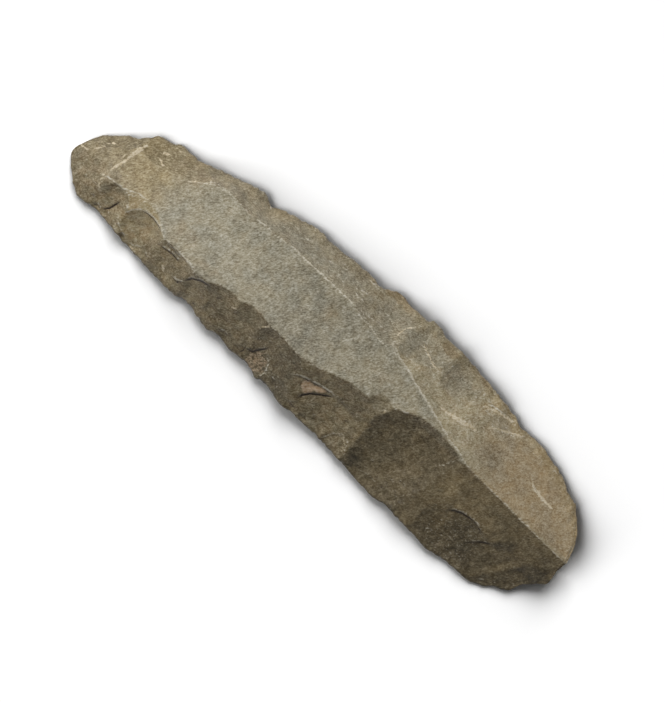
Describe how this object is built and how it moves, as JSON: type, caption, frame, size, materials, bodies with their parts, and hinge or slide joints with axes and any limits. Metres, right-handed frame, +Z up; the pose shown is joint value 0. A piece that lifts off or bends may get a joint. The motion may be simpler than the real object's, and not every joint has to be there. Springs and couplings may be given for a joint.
{
  "type": "flint blade",
  "caption": "Long knapped flint blade with a flat underside, a ridged and faceted upper face, steep retouched edges, a narrow tip and a wide rounded butt.",
  "frame": {"origin": "on the surface the blade lies on, under the middle of its bounding box", "axes": "+X runs along the blade from the narrow tip to the wide butt, +Y across it towards the retouched upper edge, +Z up from the flat underside to the ridged face"},
  "size_m": [0.1492, 0.0408, 0.0121],
  "materials": {
    "flint": "matt brown-grey flint with a pale grey patina on the middle facet, olive ends and pale worn ridges"
  },
  "bodies": {
    "root": {"flint_blade": "flint"}
  },
  "joints": []
}
